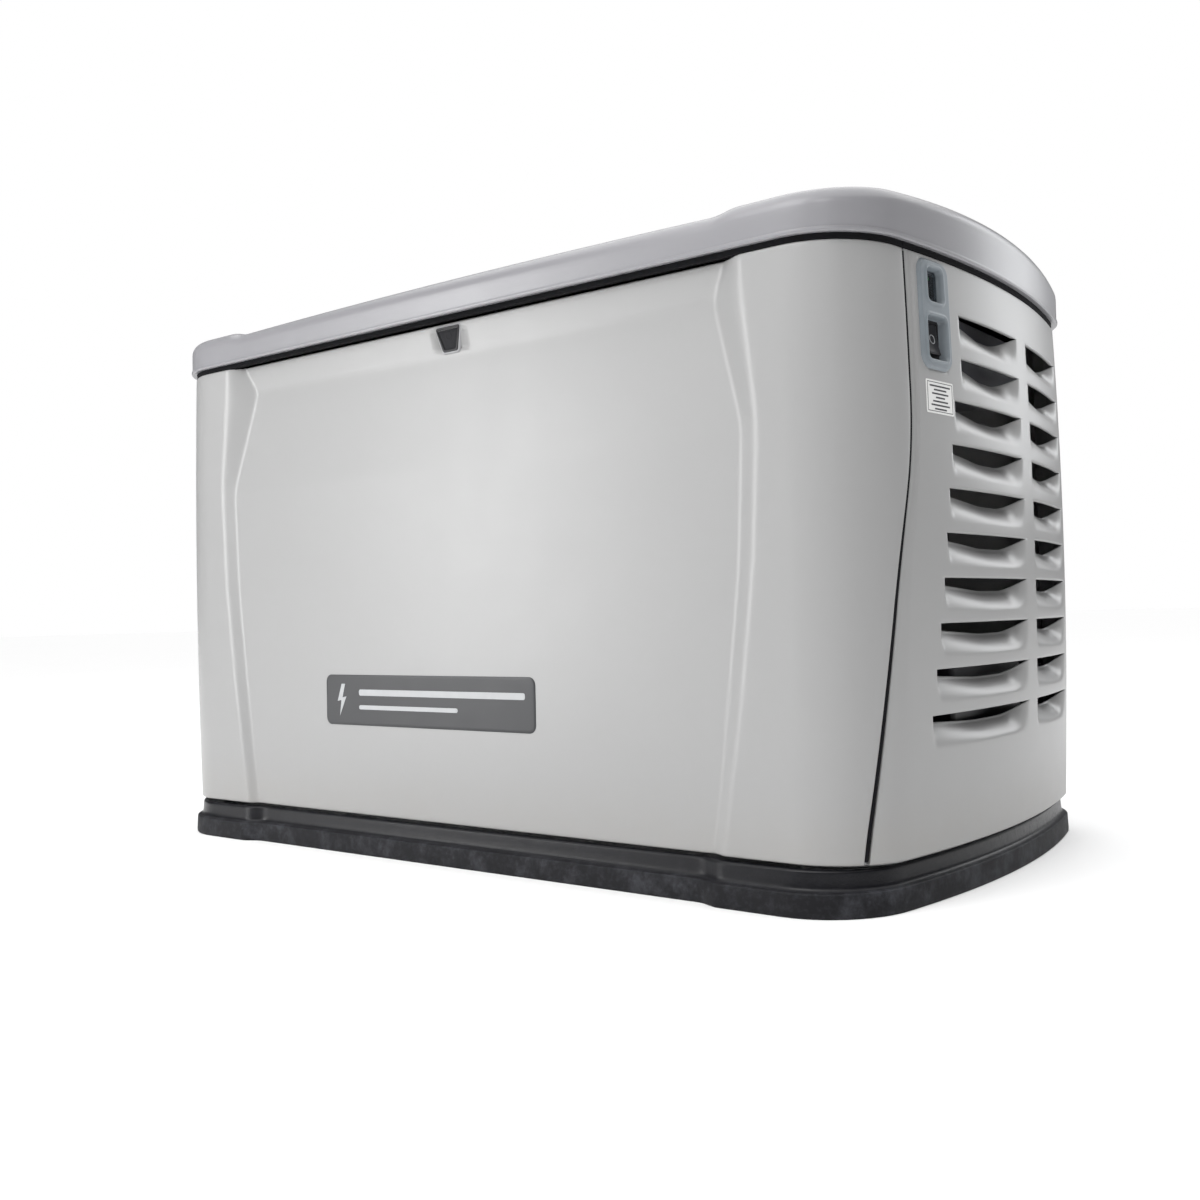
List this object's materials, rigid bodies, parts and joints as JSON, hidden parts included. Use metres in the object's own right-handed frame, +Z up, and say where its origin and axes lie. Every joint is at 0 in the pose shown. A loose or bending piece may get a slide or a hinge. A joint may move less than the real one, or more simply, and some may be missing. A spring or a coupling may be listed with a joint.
{
  "type": "home standby generator",
  "caption": "Box-shaped standby generator in a louvred sheet-metal enclosure with a hinged crowned lid, lift-off front panel, moulded pad, engine and alternator inside.",
  "frame": {"origin": "centre of the flat underside of the moulded pad", "axes": "+X along the length towards the end with the status bezel, +Y to the back where the lid is hinged, +Z up"},
  "size_m": [1.218, 0.654, 0.737],
  "materials": {
    "pad_composite": "rough moulded composite with mottled grey dust",
    "galvanised": "satin galvanised sheet",
    "panel_paint": "warm light grey powder coat, semi-gloss",
    "lid_paint": "light grey powder coat, semi-gloss",
    "zinc_steel": "zinc plated",
    "foam_rubber": "closed-cell foam",
    "latch_black": "moulded black with a soft sheen",
    "rubber_black": "matt rubber",
    "bezel_grey": "fine textured blue-grey plastic",
    "lens_clear": "clear polycarbonate",
    "lamp_board": "lamp board",
    "switch_black": "black rocker",
    "label_white": "white label film",
    "plate_dark": "dark printed film",
    "cast_aluminium": "as-cast aluminium",
    "black_enamel": "black engine enamel",
    "machined_steel": "machined steel",
    "cast_iron_grey": "cast iron",
    "filter_paint": "white gloss paint",
    "dipstick_yellow": "yellow plastic",
    "black_plastic": "textured black plastic",
    "aluminised_steel": "aluminised steel with heat tint",
    "stator_iron": "varnished laminations",
    "battery_black": "battery case",
    "panel_plastic": "textured dark grey plastic",
    "display_glass": "display window",
    "lever_black": "breaker lever",
    "button_grey": "push button",
    "button_red": "red push button",
    "button_dark": "dark push button"
  },
  "bodies": {
    "enclosure": {"base_pad": "pad_composite", "base_tray": "galvanised", "corner_posts": "galvanised", "upper_frame": "galvanised", "right_side_panel": "panel_paint", "left_side_panel": "panel_paint", "rear_panel": "panel_paint", "hex_bolts": "zinc_steel", "lid_seal": "foam_rubber", "lid_hinge_brackets": "panel_paint", "lid_hinge_pins": "zinc_steel", "control_bezel": "bezel_grey", "status_lens": "lens_clear", "status_lights": "lamp_board", "rating_label": "label_white", "crankcase": "cast_aluminium", "cylinders": "cast_aluminium", "cylinder_heads": "cast_aluminium", "rocker_covers": "black_enamel", "spark_plugs": "rubber_black", "blower_housing": "black_enamel", "starter_motor": "black_enamel", "oil_filter": "filter_paint", "intake_mixer": "cast_aluminium", "air_cleaner": "black_plastic", "muffler": "aluminised_steel", "exhaust_pipes": "aluminised_steel", "stator": "stator_iron", "bearing_carrier": "cast_aluminium", "engine_mounts": "rubber_black", "left_divider": "galvanised", "right_divider": "galvanised", "fuel_regulator": "cast_aluminium", "fuel_inlet": "cast_iron_grey", "fuel_hose": "rubber_black", "battery": "battery_black", "battery_strap": "black_plastic", "control_panel": "panel_plastic", "control_display": "display_glass", "main_breaker": "black_plastic"},
    "lid": {"lid_shell": "lid_paint", "lid_hinge_leaves": "panel_paint"},
    "front_cover": {"front_panel": "panel_paint", "lock_housing": "latch_black", "name_plate": "plate_dark"},
    "lock_turn_body": {"lock_cylinder": "zinc_steel"},
    "lock_flap": {"lock_cover": "rubber_black"},
    "switch_rocker": {"shutdown_switch": "switch_black"},
    "breaker_arm": {"breaker_lever": "lever_black"},
    "rotating_shaft": {"crankshaft": "machined_steel", "flywheel_fan": "cast_iron_grey", "rotor": "cast_iron_grey"},
    "dipstick": {"oil_dipstick": "dipstick_yellow"},
    "auto_button_body": {"auto_button": "button_grey"},
    "off_button_body": {"off_button": "button_red"},
    "manual_button_body": {"manual_button": "button_grey"},
    "escape_button_body": {"escape_button": "button_dark"},
    "up_button_body": {"up_button": "button_dark"},
    "down_button_body": {"down_button": "button_dark"},
    "enter_button_body": {"enter_button": "button_dark"}
  },
  "joints": [
    {"name": "lid_hinge", "type": "hinge", "parent": "enclosure", "child": "lid", "pos_m": [0, 0.322, 0.669], "axis": [-1, 0, 0], "range_deg": [0, 95]},
    {"name": "front_panel_slide", "type": "slide", "parent": "enclosure", "child": "front_cover", "axis": [0, -1, 0], "range_m": [0, 0.35]},
    {"name": "lock_turn", "type": "hinge", "parent": "front_cover", "child": "lock_turn_body", "pos_m": [0, -0.29703, 0.6535], "axis": [0, -0.9869, -0.1615], "range_deg": [0, 90]},
    {"name": "lock_cover_hinge", "type": "hinge", "parent": "front_cover", "child": "lock_flap", "pos_m": [0, -0.29477, 0.64404], "axis": [1, 0, 0], "range_deg": [0, 90], "stiffness_Nm_per_rad": 0.1, "springref_deg": -2.86},
    {"name": "shutdown_rocker", "type": "hinge", "parent": "enclosure", "child": "switch_rocker", "pos_m": [0.58631, -0.17499, 0.5825], "axis": [0.1443, 0.9895, 0], "range_deg": [0, 18]},
    {"name": "breaker_throw", "type": "hinge", "parent": "enclosure", "child": "breaker_arm", "pos_m": [0.452, 0.111, 0.6215], "axis": [-1, 0, 0], "range_deg": [0, 40]},
    {"name": "crank_turn", "type": "hinge", "parent": "enclosure", "child": "rotating_shaft", "pos_m": [0, 0, 0.25], "axis": [1, 0, 0], "continuous": true},
    {"name": "dipstick_pull", "type": "slide", "parent": "enclosure", "child": "dipstick", "axis": [0, 0, 1], "range_m": [0, 0.16]},
    {"name": "auto_button_press", "type": "slide", "parent": "enclosure", "child": "auto_button_body", "axis": [0, 0, -1], "range_m": [0, 0.002], "stiffness_N_per_m": 300, "springref_m": -0.002},
    {"name": "off_button_press", "type": "slide", "parent": "enclosure", "child": "off_button_body", "axis": [0, 0, -1], "range_m": [0, 0.002], "stiffness_N_per_m": 300, "springref_m": -0.002},
    {"name": "manual_button_press", "type": "slide", "parent": "enclosure", "child": "manual_button_body", "axis": [0, 0, -1], "range_m": [0, 0.002], "stiffness_N_per_m": 300, "springref_m": -0.002},
    {"name": "escape_button_press", "type": "slide", "parent": "enclosure", "child": "escape_button_body", "axis": [0, 0, -1], "range_m": [0, 0.002], "stiffness_N_per_m": 300, "springref_m": -0.002},
    {"name": "up_button_press", "type": "slide", "parent": "enclosure", "child": "up_button_body", "axis": [0, 0, -1], "range_m": [0, 0.002], "stiffness_N_per_m": 300, "springref_m": -0.002},
    {"name": "down_button_press", "type": "slide", "parent": "enclosure", "child": "down_button_body", "axis": [0, 0, -1], "range_m": [0, 0.002], "stiffness_N_per_m": 300, "springref_m": -0.002},
    {"name": "enter_button_press", "type": "slide", "parent": "enclosure", "child": "enter_button_body", "axis": [0, 0, -1], "range_m": [0, 0.002], "stiffness_N_per_m": 300, "springref_m": -0.002}
  ]
}
